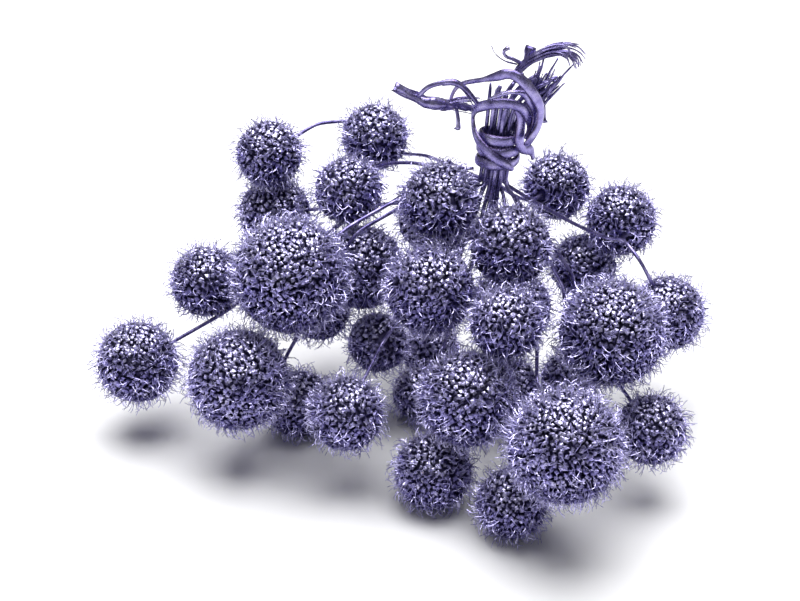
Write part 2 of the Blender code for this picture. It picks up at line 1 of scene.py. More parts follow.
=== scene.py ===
"""A tied bunch of plane tree seed balls, painted violet, on a white table.

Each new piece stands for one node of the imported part. The balls and stalks take their places and
sizes from their own nodes, and the pieces at the neck from the winding that is round it.
Lengths are in metres, +Z is up, and the photograph looks along +Y and 33 degrees down.
"""

import math
import random

import bmesh
import bpy
import numpy as np
from mathutils import Matrix, Vector, noise


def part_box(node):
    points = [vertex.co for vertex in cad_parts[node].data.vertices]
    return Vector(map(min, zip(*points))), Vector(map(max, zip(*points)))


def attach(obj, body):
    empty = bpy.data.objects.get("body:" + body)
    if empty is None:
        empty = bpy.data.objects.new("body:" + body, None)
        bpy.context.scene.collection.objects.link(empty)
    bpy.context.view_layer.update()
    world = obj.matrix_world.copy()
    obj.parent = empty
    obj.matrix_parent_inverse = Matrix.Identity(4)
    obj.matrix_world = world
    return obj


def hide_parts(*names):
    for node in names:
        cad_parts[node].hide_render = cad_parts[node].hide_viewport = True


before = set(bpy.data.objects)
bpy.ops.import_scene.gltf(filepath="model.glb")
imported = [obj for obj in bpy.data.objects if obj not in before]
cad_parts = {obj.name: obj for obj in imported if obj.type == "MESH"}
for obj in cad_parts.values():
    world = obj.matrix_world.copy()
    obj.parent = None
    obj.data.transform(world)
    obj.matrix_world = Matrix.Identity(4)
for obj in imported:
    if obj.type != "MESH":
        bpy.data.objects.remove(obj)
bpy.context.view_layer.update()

# The neck and the camera.
# Every stalk passes the neck, where bark is wound round it. It stands to the right of the middle,
# and the winding's own box says where. The camera looks down past it at the whole bunch.
MM = 0.001
WINDING_MIDDLE = Vector((0.79, 0.81, 4.42)) * MM      # from the neck's foot to the winding's middle
NECK_LEAN = Vector((0.12, 0.10, 0.99)).normalized()
NECK_ACROSS = NECK_LEAN.cross(Vector((0, -1, 0))).normalized()
NECK_ACROSS *= math.copysign(1, NECK_ACROSS.x)        # to the viewer's right
NECK_BACK = NECK_LEAN.cross(NECK_ACROSS)
AIM_FROM_NECK = Vector((-29, -6, -46)) * MM
CAMERA_HEIGHT = math.radians(33)                      # angle above the table
CAMERA_REACH = 0.62
CAMERA_LENS, SENSOR_WIDTH = 90, 36                    # millimetres
CAMERA_NEAREST = 0.05

winding_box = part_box("bark_strip_winding")
neck = (winding_box[0] + winding_box[1]) / 2 - WINDING_MIDDLE
aim = neck + AIM_FROM_NECK

camera = bpy.data.objects.new("camera", bpy.data.cameras.new("camera"))
camera.data.lens = CAMERA_LENS
camera.data.sensor_width = SENSOR_WIDTH
camera.data.clip_start = CAMERA_NEAREST
camera.location = aim + CAMERA_REACH * Vector((0, -math.cos(CAMERA_HEIGHT), math.sin(CAMERA_HEIGHT)))
camera.rotation_euler = (math.pi / 2 - CAMERA_HEIGHT, 0, 0)
bpy.context.scene.collection.objects.link(camera)
bpy.context.scene.camera = camera

# The table and the light.
# The bunch stands on plain white, lit by one wide soft box above it and a pale room.
# The box is close, so each ball is bright on top and its shadow lies right under it.
TABLE_REACH = 3.0                                     # from the table's middle to its edges
TABLE_WHITE = (0.93, 0.93, 0.94, 1)
TABLE_ROUGHNESS = 0.6
TABLE_SPECULAR = 0.2
LAMPS = {                                             # place, turn in degrees, width, power in watts
    "soft box": ((0, 0.25, 1.22), (-11, 0, 0), 1.4, 36.0),
    "front panel": ((-0.35, -0.75, 0.45), (62, 0, -25), 0.6, 0.4),
}
ROOM_WHITE = (0.95, 0.96, 1.0, 1)
ROOM_LIGHT = 0.10


def finished_mesh(bm, name):
    """Writes a bmesh to a new mesh, and frees it."""
    mesh = bpy.data.meshes.new(name)
    bm.to_mesh(mesh)
    bm.free()
    return mesh


def painted_piece(name, mesh, paint):
    """Puts a mesh in the scene, in its paint."""
    mesh.materials.append(paint)
    piece = bpy.data.objects.new(name, mesh)
    bpy.context.scene.collection.objects.link(piece)
    return piece


table_paint = bpy.data.materials.new("white table")
table_paint.use_nodes = True
table_shader = table_paint.node_tree.nodes["Principled BSDF"]
table_shader.inputs["Base Color"].default_value = TABLE_WHITE
table_shader.inputs["Roughness"].default_value = TABLE_ROUGHNESS
table_shader.inputs["Specular IOR Level"].default_value = TABLE_SPECULAR
bm = bmesh.new()
bmesh.ops.create_grid(bm, x_segments=1, y_segments=1, size=TABLE_REACH)
table = painted_piece("table", finished_mesh(bm, "table"), table_paint)

for name, (place, degrees, width, power) in LAMPS.items():
    lamp = bpy.data.lights.new(name, "AREA")
    lamp.shape = "SQUARE"
    lamp.size = width
    lamp.energy = power
    lamp_object = bpy.data.objects.new(name, lamp)
    lamp_object.location = Vector((aim.x, aim.y, 0)) + Vector(place)
    lamp_object.rotation_euler = [math.radians(angle) for angle in degrees]
    bpy.context.scene.collection.objects.link(lamp_object)

room = bpy.data.worlds.new("pale room")
room.use_nodes = True
room.node_tree.nodes["Background"].inputs["Color"].default_value = ROOM_WHITE
room.node_tree.nodes["Background"].inputs["Strength"].default_value = ROOM_LIGHT
bpy.context.scene.world = room
bpy.context.scene.view_settings.view_transform = "Standard"

# The seed balls.
# A plane tree's seed ball is a hard round core packed with nutlets. Each shows as a domed top that
# carries its old style, a wiry bristle that curls over. The ball is sprayed with pearly violet paint,
# and brown shows in the spots that the paint missed. The upper side carries a painted highlight, and
# the underside and the grooves a painted shade. The bristles are painted paler, as a highlight, and
# darker towards their tips, as shade.
SEED_BALLS = [name for name in sorted(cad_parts) if name.startswith("seed_ball_")]
FITTING_ROUNDS = 12               # passes that find a CAD ball's centre
CORE_BAND = 0.03                  # CAD points this near the middle radius are on the core, as a share
CORE_SHARE = 1.01                 # the core's radius, as a share of the CAD ball's middle radius
STALK_DEPTH = 0.97                # a stalk's points nearer than this share of the radius are in a ball
STALK_ROOM = 1.2 * MM             # kept free of seed tops round a stalk
BRISTLE_REACH = 2.1 * MM          # from the core to the mean bristle's tip
SEED_TOP_KINDS = 16
SEED_TOP_SPACING = 1.57 * MM
TOP_AREA = 0.866                  # that a seed top takes, as a share of its spacing squared
TOP_SCATTER = 0.2                 # how far a seed top strays, as a share of the spacing
TOP_SIZES = (0.78, 1.22)
TOP_TILT, TOP_TURN = 0.12, 1.2    # radians, as a spread
SWEEP_SCALE, SWEEP_OFFSET = 1.4, 90       # how the bristles' sweep changes over a ball and between balls
SWEEP_FALL = Vector((0, 0, -0.3))
SEED_TOP_WIDTH, SEED_TOP_HEIGHT = 2.1 * MM, 0.7 * MM
SEED_TOP_ROOT = 0.3 * MM          # how deep a seed top is sunk in the core
TIP_STRAY = (-0.5, 0.5)           # millimetres that a seed top's tip is off its middle
TOP_HEIGHTS = (0.6, 1.4)          # as shares of SEED_TOP_HEIGHT
TOP_NARROWNESS = (0.5, 0.85)
SHOULDER_HEIGHT, SHOULDER_WIDTH = 0.75, 0.74
SHOULDER_STRAY = 0.4              # as a share of the tip's
BRISTLE_FOOT = 0.4 * MM           # where a bristle starts, above the core
BRISTLE_ROOT, BRISTLE_END = 0.14 * MM, 0.08 * MM
BRISTLE_LENGTHS = (2.4, 4.4)      # millimetres
BRISTLE_LEAN, LEAN_SPREAD = 0.15, 0.45
BRISTLE_HOOKS = (0.4, 1.6)        # how strongly a bristle curls
HOOK_START, HOOK_GROWTH = 0.25, 1.2       # the curl at a bristle's root, and what its length adds
BEND_SPREAD, BEND_FALL = 0.7, (-0.6, 0.1)
TOPS_AT_ONCE = 24                 # seed tops joined at a time, which keeps each operator quick
BALL_SEED = 32
GOLDEN_ANGLE = math.pi * (3 - math.sqrt(5))
NEIGHBOUR_REACH = 2 * MM          # balls no further apart than this press on each other
MEETING_GAP = 0.1 * MM
PRESSED_SHARE = 0.25              # of a bristle's overshoot that stays where two balls meet
FLOOR_GAP = 0.05 * MM
PAINT_SPECULAR = 0.7
BLOTCH_SCALE, BLOTCH_DETAIL = 260, 5      # the paint's uneven blotches
DEEP_AT, BODY_AT, LIGHT_AT = 0.32, 0.5, 0.70
SPECK_SCALE, SPECK_DETAIL = 900, 2        # its specks and grit
BARE_START, BARE_FULL = 0.73, 0.77        # the specks that the paint missed
BARE_BROWN = (0.16, 0.05, 0.035, 1)
GLOSSIER, DULLER = 0.08, 0.12             # how far the roughness strays
GRIT, GRIT_HEIGHT = 0.35, 0.15 * MM
# painted highlights and painted shades on the balls: attribute, where its layer starts, where it is full,
# its shade, how much it covers then
BALL_PAINTED_LIGHT_AND_SHADE = (
    # a painted highlight on the upper side
    ("upper", 0.25, 0.85, (0.790, 0.760, 1.000, 1), 0.76),
    # a painted shade on the underside
    ("upper", 0.20, -0.60, (0.110, 0.098, 0.290, 1), 0.60),
    # a painted shade in the grooves, darkest nearest the core
    ("lift", 0.90 * MM, 0.20 * MM, (0.030, 0.024, 0.090, 1), 0.90),
    # the seed tops' crowns and the bristles painted paler, as a highlight
    ("lift", 0.85 * MM, 1.50 * MM, (0.700, 0.665, 0.990, 1), 0.90),
    # the bristles' outer parts painted darker, as shade
    ("lift", 1.90 * MM, 2.90 * MM, (0.200, 0.180, 0.430, 1), 0.60),
)


def grow_from(bm, face, places, keep_first=True):
    """Extrudes a face through each placing in turn, from the placing that it has now."""
    previous = places[0]
    for number, place in enumerate(places[1:]):
        grown = bmesh.ops.extrude_face_region(bm, geom=[face])["geom"]
        if number > 0 or not keep_first:
            bmesh.ops.delete(bm, geom=[face], context="FACES_ONLY")
        face = next(part for part in grown if isinstance(part, bmesh.types.BMFace))
        bmesh.ops.transform(bm, matrix=place @ previous.inverted(), verts=face.verts)
        previous = place
    return face


def facing(direction):
    """A turn that takes +Z to the direction."""
    return direction.to_track_quat("Z", "Y").to_matrix().to_4x4()


def bristle(bm, root, lean, length, hook, parts, chance):
    """A thin three-sided wire that leans from its root and curls over towards +X at its end."""
    start = bmesh.ops.create_circle(bm, cap_ends=True, segments=3, radius=BRISTLE_ROOT)
    face = start["verts"][0].link_faces[0]
    heading = (Vector((0, 0, 1)) + lean).normalized()
    bend = Vector((1, chance.gauss(0, BEND_SPREAD), chance.uniform(*BEND_FALL))).normalized()
    place = Matrix.Translation(root)
    placings = []
    for part in range(parts + 1):
        share = part / parts
        width = 1 + (BRISTLE_END / BRISTLE_ROOT - 1) * share
        placings.append(place @ facing(heading) @ Matrix.Diagonal((width, width, 1, 1)))
        place = Matrix.Translation(place.translation + heading * length / parts)
        heading = (heading + bend * hook * (HOOK_START + HOOK_GROWTH * share)).normalized()
    bmesh.ops.transform(bm, matrix=placings[0], verts=start["verts"])
    grow_from(bm, face, placings)


def seed_top(number):
    """One nutlet's domed top with its bristle, on the origin, pointing up."""
    chance = random.Random(number)
    bm = bmesh.new()
    base = bmesh.ops.create_circle(bm, cap_ends=True, segments=4, radius=SEED_TOP_WIDTH / 2)
    face = base["verts"][0].link_faces[0]
    bmesh.ops.translate(bm, vec=(0, 0, -SEED_TOP_ROOT), verts=base["verts"])
    tip = Vector((chance.uniform(*TIP_STRAY), chance.uniform(*TIP_STRAY), 0)) * MM
    tall = SEED_TOP_HEIGHT * chance.uniform(*TOP_HEIGHTS)
    narrow = chance.uniform(*TOP_NARROWNESS)
    base_place = Matrix.Translation((0, 0, -SEED_TOP_ROOT))
    shoulder = Matrix.Translation(Vector((0, 0, SHOULDER_HEIGHT * tall)) + tip * SHOULDER_STRAY)
    crown = grow_from(bm, face, [base_place, shoulder @ Matrix.Diagonal((SHOULDER_WIDTH, narrow, 1, 1))])
    fan = bmesh.ops.poke(bm, faces=[crown])
    fan["verts"][0].co = tip + Vector((0, 0, tall))
    lean = Vector((chance.gauss(BRISTLE_LEAN, LEAN_SPREAD), chance.gauss(0, LEAN_SPREAD), 0))
    length = chance.uniform(*BRISTLE_LENGTHS) * MM
    bristle(bm, tip + Vector((0, 0, BRISTLE_FOOT)), lean, length, chance.uniform(*BRISTLE_HOOKS),
            3 + number % 2, chance)
    bmesh.ops.recalc_face_normals(bm, faces=bm.faces)
    return finished_mesh(bm, "seed_top")


def combed(out, centre, chance):
    """A turn that takes +Z outwards, and +X roughly the way that the bristles there are swept."""
    sweep = noise.noise_vector(out * SWEEP_SCALE + centre * SWEEP_OFFSET) + SWEEP_FALL
    sweep = (sweep - out * sweep.dot(out)).normalized()
    turn = Matrix((sweep, out.cross(sweep), out)).transposed().to_4x4()
    return turn @ Matrix.Rotation(chance.gauss(0, TOP_TURN), 4, "Z")


def core_of(node):
    """The centre and core radius of the CAD ball in a node, fitted to its seed tops and grooves."""
    points = np.unique(np.array([vert.co for vert in node.data.vertices]).round(7), axis=0)
    centre = (points.min(0) + points.max(0)) / 2
    for _ in range(FITTING_ROUNDS):
        reach = np.linalg.norm(points - centre, axis=1)
        middle = np.median(reach)
        near = points[abs(reach - middle) < CORE_BAND * middle]
        terms = np.hstack([2 * near, np.ones((len(near), 1))])
        centre = np.linalg.lstsq(terms, (near ** 2).sum(1), rcond=None)[0][:3]
    radius = np.median(np.linalg.norm(points - centre, axis=1)) * CORE_SHARE
    return Vector(centre), float(radius)


def ranged(paint, value, start, end, low=0, high=1):
    """A value taken from one range to another, and held at its ends."""
    step = paint.node_tree.nodes.new("ShaderNodeMapRange")
    for socket, number in (("From Min", start), ("From Max", end), ("To Min", low), ("To Max", high)):
        step.inputs[socket].default_value = number
    paint.node_tree.links.new(value, step.inputs["Value"])
    return step.outputs["Result"]


def layered(paint, under, shade, cover):
    """A colour with a shade laid over it as far as the cover says."""
    layer = paint.node_tree.nodes.new("ShaderNodeMix")
    layer.data_type = "RGBA"
    layer.inputs["B"].default_value = shade
    paint.node_tree.links.new(cover, layer.inputs["Factor"])
    paint.node_tree.links.new(under, layer.inputs["A"])
    return layer.outputs["Result"]


def attribute_of(paint, name):
    """A number that the mesh carries under that name."""
    carried = paint.node_tree.nodes.new("ShaderNodeAttribute")
    carried.attribute_name = name
    return carried.outputs["Fac"]


def violet_paint(name, deep, body, light, roughness, metallic, grit=GRIT, grit_height=GRIT_HEIGHT):
    """Pearly violet spray paint, patchy, with brown specks of bare plant where it missed."""
    paint = bpy.data.materials.new(name)
    paint.use_nodes = True
    nodes, links = paint.node_tree.nodes, paint.node_tree.links
    shader = nodes["Principled BSDF"]
    shader.inputs["Metallic"].default_value = metallic
    shader.inputs["Specular IOR Level"].default_value = PAINT_SPECULAR
    place = nodes.new("ShaderNodeTexCoord")
    blotches = nodes.new("ShaderNodeTexNoise")
    blotches.inputs["Scale"].default_value = BLOTCH_SCALE
    blotches.inputs["Detail"].default_value = BLOTCH_DETAIL
    links.new(place.outputs["Object"], blotches.inputs["Vector"])
    shades = nodes.new("ShaderNodeValToRGB")
    shades.color_ramp.elements[0].position = DEEP_AT
    shades.color_ramp.elements[0].color = deep
    shades.color_ramp.elements[1].position = LIGHT_AT
    shades.color_ramp.elements[1].color = light
    shades.color_ramp.elements.new(BODY_AT).color = body
    links.new(blotches.outputs["Fac"], shades.inputs["Fac"])
    specks = nodes.new("ShaderNodeTexNoise")
    specks.inputs["Scale"].default_value = SPECK_SCALE
    specks.inputs["Detail"].default_value = SPECK_DETAIL
    links.new(place.outputs["Object"], specks.inputs["Vector"])
    bare = ranged(paint, specks.outputs["Fac"], BARE_START, BARE_FULL)
    coat = layered(paint, shades.outputs["Color"], BARE_BROWN, bare)
    links.new(coat, shader.inputs["Base Color"])
    gloss = ranged(paint, specks.outputs["Fac"], 0, 1, roughness - GLOSSIER, roughness + DULLER)
    links.new(gloss, shader.inputs["Roughness"])
    grain = nodes.new("ShaderNodeBump")
    grain.inputs["Strength"].default_value = grit
    grain.inputs["Distance"].default_value = grit_height
    links.new(specks.outputs["Fac"], grain.inputs["Height"])
    links.new(grain.outputs["Normal"], shader.inputs["Normal"])
    return paint


def seed_ball_violet():
    """The paint of the balls, with a painted highlight above, painted shade below and in the grooves, and
    the bristles painted paler, darker towards their tips.
    """
    paint = violet_paint("violet seed ball paint", (0.150, 0.133, 0.350, 1), (0.350, 0.320, 0.660, 1),
                         (0.740, 0.705, 0.980, 1), 0.28, 0.90, 0.7, 0.4 * MM)
    base_colour = paint.node_tree.nodes["Principled BSDF"].inputs["Base Color"]
    coat = base_colour.links[0].from_socket
    # Lays the painted highlights and painted shades over the paint: paler above, darker below and in the
    # grooves, paler on the bristles and darker towards their tips.
    for attribute, start, full, shade, cover in BALL_PAINTED_LIGHT_AND_SHADE:
        coat = layered(paint, coat, shade, ranged(paint, attribute_of(paint, attribute), start, full,
                                                  high=cover))
    paint.node_tree.links.new(coat, base_colour)
    return paint


def paved_ball(centre, radius, free_spots, chance):
    """A core with seed tops on an even spiral, except at the spots where stalks go in."""
    bm = bmesh.new()
    bmesh.ops.create_icosphere(bm, subdivisions=2, radius=radius, matrix=Matrix.Translation(centre))
    count = round(4 * math.pi * radius ** 2 / (TOP_AREA * SEED_TOP_SPACING ** 2))
    start = chance.uniform(0, math.tau)
    for first in range(0, count, TOPS_AT_ONCE):
        patch = bmesh.new()
        for number in range(first, min(first + TOPS_AT_ONCE, count)):
            height = 1 - (2 * number + 1) / count
            turn = start + number * GOLDEN_ANGLE
            out = Vector((math.cos(turn) * math.sqrt(1 - height ** 2),
                          math.sin(turn) * math.sqrt(1 - height ** 2), height))
            stray = Vector([chance.gauss(0, 1) for _ in range(3)]) * TOP_SCATTER * SEED_TOP_SPACING
            out = (out + stray / radius).normalized()
            if any((out - spot).length * radius < STALK_ROOM for spot in free_spots):
                continue
            size = chance.uniform(*TOP_SIZES)
            placing = (Matrix.Translation(centre + out * radius) @ combed(out, centre, chance)
                       @ Matrix.Rotation(chance.gauss(0, TOP_TILT), 4, "X")
                       @ Matrix.Diagonal((size, size, size, 1)))
            known = len(patch.verts)
            patch.from_mesh(chance.choice(seed_tops))
            patch.verts.ensure_lookup_table()
            bmesh.ops.transform(patch, matrix=placing, verts=patch.verts[known:])
        grown = finished_mesh(patch, "patch")
        bm.from_mesh(grown)
        bpy.data.meshes.remove(grown)
    return bm


def planes_against(name):
    """The planes where a ball meets its neighbours and the table, as press_flat takes them."""
    centre, radius = cores[name]
    planes = []
    for other, (far, far_radius) in cores.items():
        apart = (far - centre).length
        reach, far_reach = radius + BRISTLE_REACH, far_radius + BRISTLE_REACH
        if other != name and apart < reach + far_reach + NEIGHBOUR_REACH:
            away = (far - centre).normalized()
            meeting = (apart ** 2 + reach ** 2 - far_reach ** 2) / (2 * apart)
            planes.append((centre + away * (meeting - MEETING_GAP), away, PRESSED_SHARE))
    planes.append((Vector((0, 0, FLOOR_GAP)), Vector((0, 0, -1)), 0.0))
    return planes


def press_flat(mesh, planes):
    """Presses a mesh back behind planes, each (point, direction, share of the overshoot kept)."""
    places = np.empty(len(mesh.vertices) * 3, np.float32)
    mesh.vertices.foreach_get("co", places)
    places = places.reshape(-1, 3)
    for point, direction, kept in planes:
        over = np.clip((places - np.array(point)) @ np.array(direction), 0, None)
        places -= (over * (1 - kept))[:, None] * np.array(direction)
    mesh.vertices.foreach_set("co", places.ravel())
    mesh.update()


seed_ball_paint = seed_ball_violet()
cores = {name: core_of(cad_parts[name]) for name in SEED_BALLS}
stalk_ends = {name: [] for name in SEED_BALLS}
for name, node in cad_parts.items():
    if name.startswith("stalk_"):
        for vert in node.data.vertices:
            for ball, (centre, radius) in cores.items():
                if (vert.co - centre).length < STALK_DEPTH * radius:
                    stalk_ends[ball].append((vert.co - centre).normalized())

seed_tops = [seed_top(number) for number in range(SEED_TOP_KINDS)]
chance = random.Random(BALL_SEED)
noise.seed_set(BALL_SEED)
for name in SEED_BALLS:
    centre, radius = cores[name]
    mesh = finished_mesh(paved_ball(centre, radius, stalk_ends[name], chance), name + "_painted")
    # How high each point stands above the core and how far it faces up. The paint reads these to place its
    # painted highlights and painted shades.
    lift = [(vert.co - centre).length - radius for vert in mesh.vertices]
    upper = [(vert.co - centre).normalized().z for vert in mesh.vertices]
    mesh.attributes.new("lift", "FLOAT", "POINT").data.foreach_set("value", lift)
    mesh.attributes.new("upper", "FLOAT", "POINT").data.foreach_set("value", upper)
    press_flat(mesh, planes_against(name))
    piece = painted_piece(name + "_painted", mesh, seed_ball_paint)
    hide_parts(name)
    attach(piece, "root")
for top in seed_tops:
    bpy.data.meshes.remove(top)

# The stalks.
# Each seed ball hangs on a thin tough stalk, one to three balls to each, and all eighteen stalks
# run up through the neck. They are woody and a little lumpy, and carry the same violet paint.
SAME_POINT = 0.001 * MM
FLAT_ENOUGH, SQUARE_ENOUGH = 0.8, 1.2     # radians, for joining triangles into four-sided faces
LONGEST_EDGE = 2.4 * MM
STALK_COAT = 0.06 * MM
STALK_LUMPS, LUMP_SIZE = 0.10 * MM, 1.6 * MM


def rounded(piece):
    """Rounds a piece off with one level of subdivision."""
    rounding = piece.modifiers.new("rounding", "SUBSURF")
    rounding.levels = rounding.render_levels = 1


stalk_paint = violet_paint("violet stalk paint", (0.070, 0.058, 0.180, 1), (0.185, 0.158, 0.390, 1),
                           (0.420, 0.380, 0.680, 1), 0.26, 0.75)
for name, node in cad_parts.items():
    if not name.startswith("stalk_"):
        continue
    bm = bmesh.new()
    bm.from_mesh(node.data)
    bmesh.ops.remove_doubles(bm, verts=bm.verts, dist=SAME_POINT)
    bmesh.ops.join_triangles(bm, faces=bm.faces, angle_face_threshold=FLAT_ENOUGH,
                             angle_shape_threshold=SQUARE_ENOUGH)
    long_edges = [edge for edge in bm.edges if edge.calc_length() > LONGEST_EDGE]
    bmesh.ops.subdivide_edges(bm, edges=long_edges, cuts=1)
    for vert in bm.verts:
        vert.co += vert.normal * (STALK_COAT + noise.noise(vert.co / LUMP_SIZE) * STALK_LUMPS)
    mesh = finished_mesh(bm, name + "_painted")
    mesh.shade_smooth()
    piece = painted_piece(name + "_painted", mesh, stalk_paint)
    rounded(piece)
    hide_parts(name)
    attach(piece, "root")

# The bark strips.
# Strips of inner bark are wound round the stalks and looped through one another. They are flat
# and leathery, about a millimetre thick, with rounded edges and a fine grain that runs lengthwise.
# Each is a rounded section drawn along its way round the neck.
STRIP_THICKNESS = 0.95 * MM
STRIP_SIDES = 12
STRIP_STEP = 1.5 * MM
WAY_STEP = 4.0                            # along a way, before it is turned into places
SECTION_POWER = 0.7                       # under 1 gives the section fuller corners than an oval has
STRIP_CROWN = 1.1                         # how far the section arches, in half thicknesses
STRIP_LIFT = 0.4                          # how far the section stands off its way, in thicknesses
STRIP_WAVE, WAVE_SIZE = 0.08, 4 * MM      # the width's unevenness
STRIP_SWAY, SWAY_SIZE = 0.16, 6 * MM      # radians that the strip rocks
WIDTH_PLACES = (0, 0.08, 0.30, 0.42, 0.95, 1)
START_SHARE, END_SHARE = 0.5, 0.6         # how far a strip narrows at its start and its end
GRAIN_ALONG, GRAIN_ACROSS = 0.3, 1.3      # the grain's run for each step and each width across
GRAIN_SCALE, GRAIN_DETAIL = 4, 4
RIDGE_STRENGTH, RIDGE_HEIGHT = 0.35, 0.2 * MM
# a painted shade along the strips' edges: where it starts and where it is full across the strip, how much
# it covers, and its colour
EDGE_SHADE_START, EDGE_SHADE_FULL, EDGE_SHADE_COVER = 2.9, 4.2, 0.85
EDGE_SHADE_COLOUR = (0.070, 0.042, 0.110, 1)
# the width at the start, the width, and the way: (degrees round the neck, radius, height), with 0
# degrees at the viewer and 90 at the viewer's right
STRIP_WAYS = {
    "bark_strip_winding": (3.5, 3.5, (
        (-180, 5.5, -0.8), (0, 5.5, 1.1), (180, 5.6, 3.1), (360, 5.6, 5.0), (540, 5.7, 7.0),
        (720, 5.8, 8.9), (900, 5.9, 10.9))),
    "bark_strip_loop": (3.3, 3.3, (
        (38, 6.9, 0.2), (12, 6.9, 2.3), (-24, 7.0, 4.8), (-58, 7.4, 7.5), (-85, 7.8, 10.2),
        (-92, 8.3, 13.4), (-76, 8.7, 16.6), (-51, 9.0, 19.3), (-24, 9.3, 21.6), (2, 9.3, 22.4),
        (25, 9.3, 21.0), (41, 9.3, 18.0), (51, 9.1, 15.3), (54, 8.9, 12.8), (50, 8.5, 11.0))),
    "bark_strip_outer_loop": (1.4, 3.3, (
        (-34, 10.2, 22.8), (-15, 10.4, 25.4), (3, 10.4, 26.7), (23, 10.4, 25.9), (40, 10.3, 22.5),
        (53, 10.2, 18.4), (54, 10.1, 15.0), (50, 9.6, 12.6), (45, 9.2, 10.6))),
    "bark_strip_top_loop": (1.6, 3.3, (
        (-97, 15.6, 16.8), (-97, 15.3, 19.6), (-95, 13.0, 22.6), (-86, 10.5, 24.6),
        (-60, 9.3, 27.0), (-28, 9.5, 30.0), (-11, 9.8, 31.7), (6, 10.5, 31.3), (21, 11.5, 28.9),
        (37, 12.2, 24.8), (47, 12.4, 21.1), (50, 12.3, 17.6), (46, 12.1, 14.6), (43, 11.2, 11.9),
        (40, 10.2, 9.4))),
    "bark_strip_tucked_end": (3.4, 3.4, (
        (14, 7.7, 21.4), (27, 8.0, 18.9), (34, 8.0, 15.4), (37, 7.6, 11.5), (43, 7.4, 8.4),
        (56, 7.8, 6.5), (70, 8.7, 6.2), (83, 9.5, 4.6), (86, 9.9, 2.2))),
}


def smooth_line(points, spacing):
    """Points at an even spacing on a smooth curve through the given ones."""
    points = np.asarray(points, float)
    padded = np.vstack([2 * points[0] - points[1], points, 2 * points[-1] - points[-2]])
    fine = []
    for a, b, c, d in zip(padded, padded[1:], padded[2:], padded[3:]):
        for t in np.linspace(0, 1, 12, endpoint=False):
            fine.append(0.5 * (2 * b + (c - a) * t + (2 * a - 5 * b + 4 * c - d) * t ** 2
                               + (3 * b - a - 3 * c + d) * t ** 3))
    fine = np.array(fine + [points[-1]])
    run = np.concatenate([[0], np.cumsum(np.linalg.norm(np.diff(fine[:, :3], axis=0), axis=1))])
    wanted = np.linspace(0, run[-1], max(3, round(run[-1] / spacing) + 1))
    return np.stack([np.interp(wanted, run, fine[:, k]) for k in range(fine.shape[1])], axis=1)


def beside_neck(right, back, height):
    """A point beside the neck, from millimetres to the right, to the back and up along it."""
    return neck + (NECK_ACROSS * right + NECK_BACK * back + NECK_LEAN * height) * MM


def bark_leather(name):
    """Smooth violet paint over leathery bark, with a lengthwise grain and a painted shade along the edges.
    """
    bark = violet_paint(name, (0.170, 0.145, 0.370, 1), (0.300, 0.262, 0.560, 1),
                        (0.480, 0.435, 0.740, 1), 0.24, 0.90)
    nodes, links = bark.node_tree.nodes, bark.node_tree.links
    shader = nodes["Principled BSDF"]
    across = attribute_of(bark, "across")
    strands = nodes.new("ShaderNodeCombineXYZ")
    links.new(attribute_of(bark, "along"), strands.inputs["X"])
    links.new(across, strands.inputs["Y"])
    grain = nodes.new("ShaderNodeTexNoise")
    grain.inputs["Scale"].default_value = GRAIN_SCALE
    grain.inputs["Detail"].default_value = GRAIN_DETAIL
    links.new(strands.outputs["Vector"], grain.inputs["Vector"])
    ridges = nodes.new("ShaderNodeBump")
    ridges.inputs["Strength"].default_value = RIDGE_STRENGTH
    ridges.inputs["Distance"].default_value = RIDGE_HEIGHT
    links.new(grain.outputs["Fac"], ridges.inputs["Height"])
    links.new(shader.inputs["Normal"].links[0].from_socket, ridges.inputs["Normal"])
    links.new(ridges.outputs["Normal"], shader.inputs["Normal"])
    # The strip's colour is darkened towards its edges, a painted shade.
    off_middle = nodes.new("ShaderNodeMath")
    off_middle.operation = "ABSOLUTE"
    links.new(across, off_middle.inputs[0])
    edge = ranged(bark, off_middle.outputs["Value"], EDGE_SHADE_START, EDGE_SHADE_FULL, high=EDGE_SHADE_COVER)
    coat = shader.inputs["Base Color"].links[0].from_socket
    links.new(layered(bark, coat, EDGE_SHADE_COLOUR, edge), shader.inputs["Base Color"])
    return bark


def strip_placings(way, first_share):
    """A placing for every section of a strip, with its width, along a way round the neck."""
    middle = smooth_line([beside_neck(radius * math.sin(math.radians(degrees)),
                                      -radius * math.cos(math.radians(degrees)), height)
                          for degrees, radius, height in smooth_line(way, WAY_STEP)], STRIP_STEP)
    width_shares = (START_SHARE * first_share, first_share, first_share, 1, 1, END_SHARE)
    placings = []
    for step, (point, ahead) in enumerate(zip(middle, np.gradient(middle, axis=0))):
        point, ahead = Vector(point), Vector(ahead).normalized()
        out = point - neck
        out -= NECK_LEAN * out.dot(NECK_LEAN)
        out = (out - ahead * out.dot(ahead)).normalized()
        sway = noise.noise(point / SWAY_SIZE)
        broad = 1 + STRIP_WAVE * noise.noise(point / WAVE_SIZE + Vector((9, 0, 0)))
        broad *= np.interp(step / len(middle), WIDTH_PLACES, width_shares)
        turn = Matrix((ahead.cross(out), out, ahead)).transposed().to_4x4()
        placings.append(Matrix.Translation(point + out * STRIP_LIFT * STRIP_THICKNESS) @ turn
                        @ Matrix.Rotation(STRIP_SWAY * sway, 4, "Z") @ Matrix.Diagonal((broad, 1, 1, 1)))
    return placings


